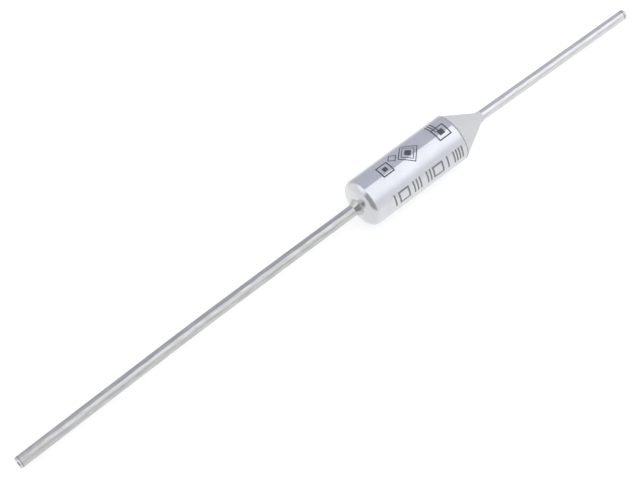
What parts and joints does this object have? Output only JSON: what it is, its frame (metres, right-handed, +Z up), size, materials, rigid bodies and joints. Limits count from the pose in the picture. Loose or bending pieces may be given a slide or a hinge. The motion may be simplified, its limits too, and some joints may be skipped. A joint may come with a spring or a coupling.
{
  "type": "thermal fuse",
  "caption": "Axial thermal fuse: plated metal case with a rounded closed end, a grey resin cone at the other, and a long and a short round wire lead.",
  "frame": {"origin": "middle of the case, on the case's axis", "axes": "+X along the case's axis, from its closed end to the resin seal; +Z up; the fuse lies on the side of its case, with both leads bent a little towards -Z"},
  "size_m": [0.0606, 0.004, 0.004],
  "materials": {
    "case_plating": "bright silver-coloured plating on a drawn brass cup",
    "case_lead_tin": "tinned copper wire, satin",
    "isolated_lead_silver": "silver-plated copper wire, satin",
    "pellet_compound": "pressed organic compound, matte",
    "disc_steel": "plated spring steel, satin",
    "spring_steel": "drawn spring steel, satin",
    "star_silver": "silver-plated copper sheet, polished",
    "steatite": "unglazed ceramic, matte",
    "resin": "light grey cured epoxy resin, matte"
  },
  "bodies": {
    "root": {"case": "case_plating", "case_lead": "case_lead_tin", "thermal_pellet": "pellet_compound", "pellet_disc": "disc_steel", "main_spring": "spring_steel", "contact_disc": "disc_steel", "star_contact": "star_silver", "trip_spring": "spring_steel", "ceramic_bushing": "steatite", "isolated_lead": "isolated_lead_silver", "resin_seal": "resin"}
  },
  "joints": []
}
